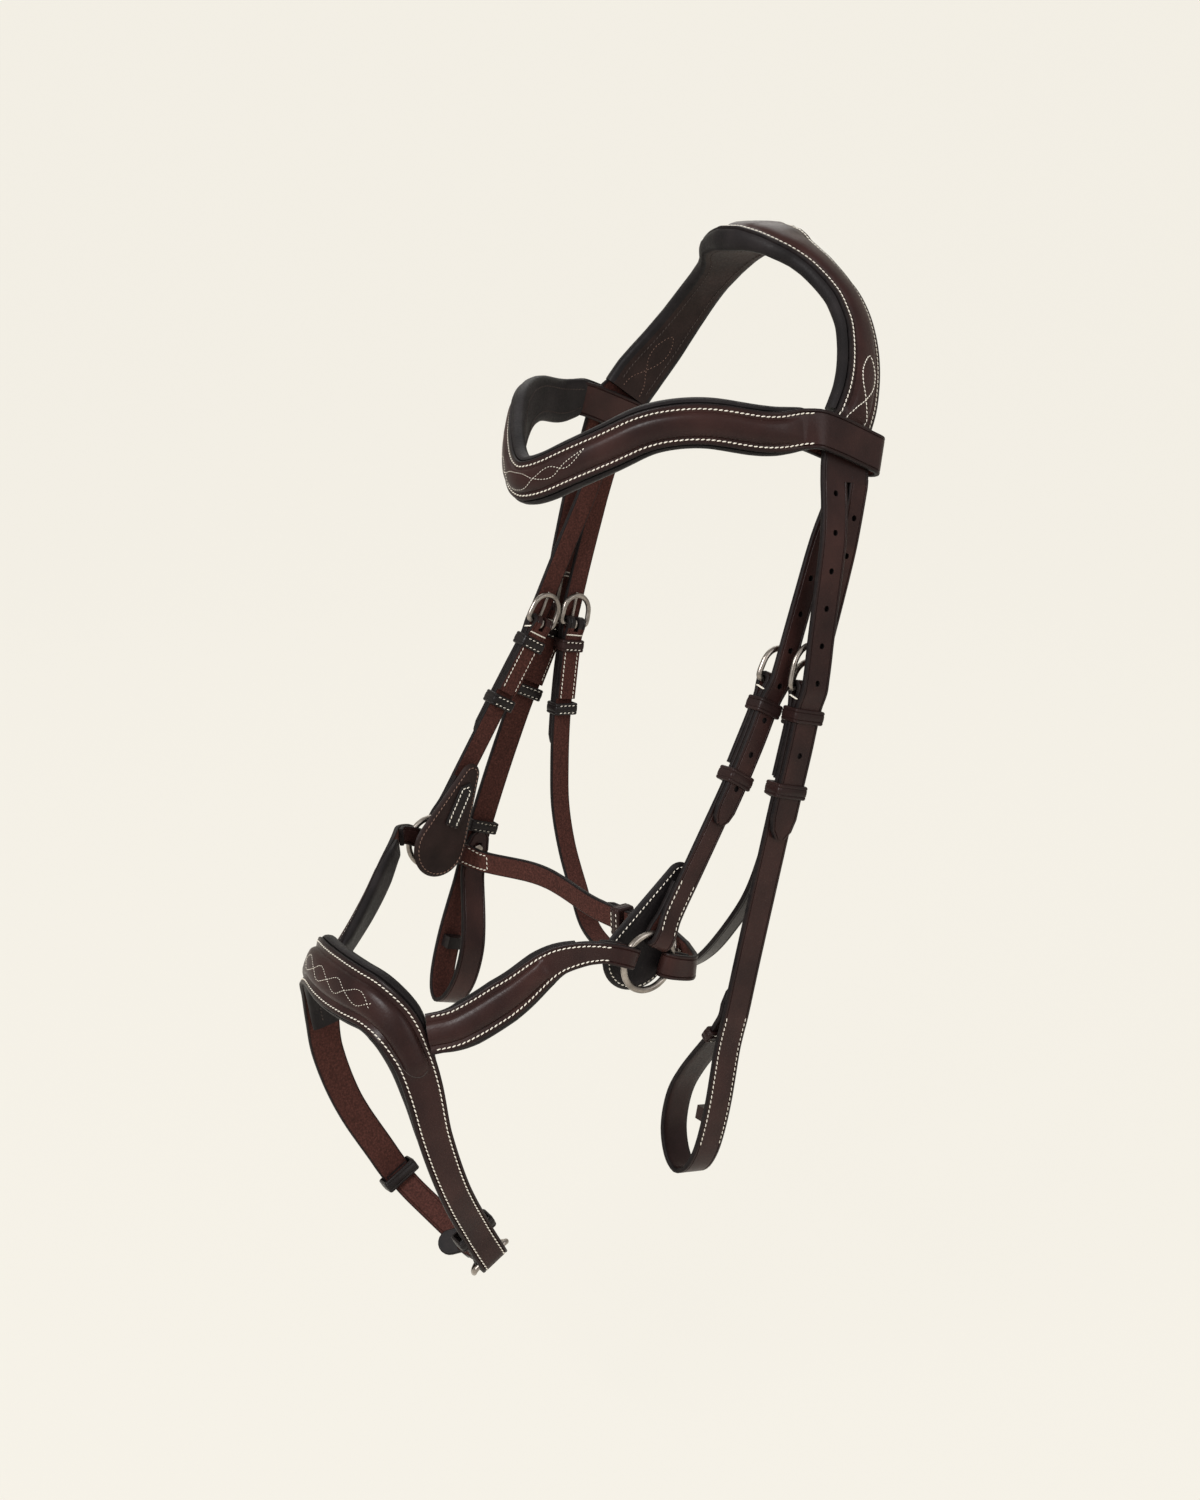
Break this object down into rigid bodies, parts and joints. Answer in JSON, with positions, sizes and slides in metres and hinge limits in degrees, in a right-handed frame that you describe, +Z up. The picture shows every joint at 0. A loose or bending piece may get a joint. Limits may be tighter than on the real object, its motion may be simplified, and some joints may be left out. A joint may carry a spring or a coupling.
{
  "type": "bridle",
  "caption": "Leather bridle with a padded anatomical headpiece and browband, buckled cheekpieces, throatlatch and a padded drop noseband hung on rings.",
  "frame": {"origin": "underside of the headpiece padding in the middle of the poll", "axes": "+X towards the horse's left (near) side, -Y forward along the nose, +Z up"},
  "size_m": [0.2362, 0.2887, 0.5307],
  "materials": {
    "leather": "dark brown grain leather with a soft sheen",
    "padding": "near-black soft padded leather",
    "nickel": "satin nickel"
  },
  "bodies": {
    "headpiece": {"headpiece_leather": "leather", "headpiece_padding": "padding", "near_noseband_billet": "leather", "near_hanger_strap": "leather", "near_hanger_buckle": "nickel", "near_hanger_prong": "nickel", "near_ring_pad": "padding", "far_noseband_billet": "leather", "far_hanger_strap": "leather", "far_hanger_buckle": "nickel", "far_hanger_prong": "nickel", "far_ring_pad": "padding"},
    "browband": {"browband_leather": "leather", "browband_padding": "padding"},
    "throatlatch": {"throatlatch_strap": "leather", "near_throat_billet": "leather", "near_throat_buckle": "nickel", "near_throat_prong": "nickel", "far_throat_billet": "leather", "far_throat_buckle": "nickel", "far_throat_prong": "nickel"},
    "noseband": {"nose_leather": "leather", "nose_padding": "padding", "chin_strap": "leather", "chin_buckle": "nickel", "chin_prong": "nickel", "far_chin_keeper": "leather", "near_front_branch": "leather", "near_branch_padding": "padding", "far_front_branch": "leather", "far_branch_padding": "padding"},
    "jaw_strap": {"jaw_strap": "leather", "jaw_buckle": "nickel", "jaw_prong": "nickel", "jaw_billet": "leather"},
    "near_cheek": {"near_cheek_billet": "leather", "near_cheek_buckle": "nickel", "near_cheek_prong": "nickel", "near_cheek_strap": "leather", "near_bit_loop_keeper": "leather", "near_hook_stud": "nickel", "near_lining_keeper": "leather"},
    "near_ring": {"near_ring": "nickel"},
    "near_cheek_keeper": {"near_cheek_running_keeper": "leather"},
    "near_hanger_keeper": {"near_hanger_running_keeper": "leather"},
    "near_throat_keeper": {"near_throat_running_keeper": "leather"},
    "far_cheek": {"far_cheek_billet": "leather", "far_cheek_buckle": "nickel", "far_cheek_prong": "nickel", "far_cheek_strap": "leather", "far_bit_loop_keeper": "leather", "far_hook_stud": "nickel", "far_lining_keeper": "leather"},
    "far_ring": {"far_ring": "nickel"},
    "far_cheek_keeper": {"far_cheek_running_keeper": "leather"},
    "far_hanger_keeper": {"far_hanger_running_keeper": "leather"},
    "far_throat_keeper": {"far_throat_running_keeper": "leather"},
    "jaw_keeper": {"jaw_running_keeper": "leather"},
    "chin_keeper": {"near_chin_keeper": "leather"}
  },
  "joints": [
    {"name": "near_cheek_swing", "type": "hinge", "parent": "headpiece", "child": "near_cheek", "pos_m": [0.10239, -0.03376, -0.1042], "axis": [0, -1, 0], "range_deg": [0, 8]},
    {"name": "far_cheek_swing", "type": "hinge", "parent": "headpiece", "child": "far_cheek", "pos_m": [-0.10239, -0.03376, -0.1042], "axis": [0, 1, 0], "range_deg": [0, 8]},
    {"name": "throatlatch_swing", "type": "hinge", "parent": "headpiece", "child": "throatlatch", "pos_m": [0, -0.01822, -0.10814], "axis": [1, 0, 0], "range_deg": [0, 6]},
    {"name": "noseband_lift", "type": "hinge", "parent": "headpiece", "child": "noseband", "pos_m": [0, -0.144, -0.3255], "axis": [-1, 0, 0], "range_deg": [0, 12]},
    {"name": "jaw_strap_lift", "type": "hinge", "parent": "headpiece", "child": "jaw_strap", "pos_m": [0, -0.144, -0.3255], "axis": [1, 0, 0], "range_deg": [0, 3]},
    {"name": "near_ring_turn", "type": "hinge", "parent": "headpiece", "child": "near_ring", "pos_m": [0.1052, -0.144, -0.3255], "axis": [1, 0, 0], "continuous": true},
    {"name": "far_ring_turn", "type": "hinge", "parent": "headpiece", "child": "far_ring", "pos_m": [-0.1052, -0.144, -0.3255], "axis": [1, 0, 0], "continuous": true},
    {"name": "browband_slide", "type": "slide", "parent": "headpiece", "child": "browband", "axis": [0, -0.3673, -0.9301], "range_m": [0, 0.002]},
    {"name": "near_cheek_keeper_slide", "type": "slide", "parent": "near_cheek", "child": "near_cheek_keeper", "axis": [0.0154, -0.2706, -0.9626], "range_m": [-0.005, 0.005]},
    {"name": "near_hanger_keeper_slide", "type": "slide", "parent": "headpiece", "child": "near_hanger_keeper", "axis": [0.0524, -0.5272, -0.8481], "range_m": [-0.005, 0.005]},
    {"name": "near_throat_keeper_slide", "type": "slide", "parent": "throatlatch", "child": "near_throat_keeper", "axis": [-0.112, -0.1537, -0.9818], "range_m": [-0.003, 0.003]},
    {"name": "far_cheek_keeper_slide", "type": "slide", "parent": "far_cheek", "child": "far_cheek_keeper", "axis": [-0.016, -0.4263, -0.9044], "range_m": [-0.005, 0.005]},
    {"name": "far_hanger_keeper_slide", "type": "slide", "parent": "headpiece", "child": "far_hanger_keeper", "axis": [-0.056, -0.51, -0.8584], "range_m": [-0.005, 0.005]},
    {"name": "far_throat_keeper_slide", "type": "slide", "parent": "throatlatch", "child": "far_throat_keeper", "axis": [0.0136, -0.1142, -0.9934], "range_m": [-0.003, 0.003]},
    {"name": "jaw_keeper_slide", "type": "slide", "parent": "jaw_strap", "child": "jaw_keeper", "axis": [-0.9977, -0.0264, -0.0619], "range_m": [-0.003, 0.003]},
    {"name": "chin_keeper_slide", "type": "slide", "parent": "noseband", "child": "chin_keeper", "axis": [0.1234, -0.4536, 0.8826], "range_m": [0, 0.003]}
  ]
}
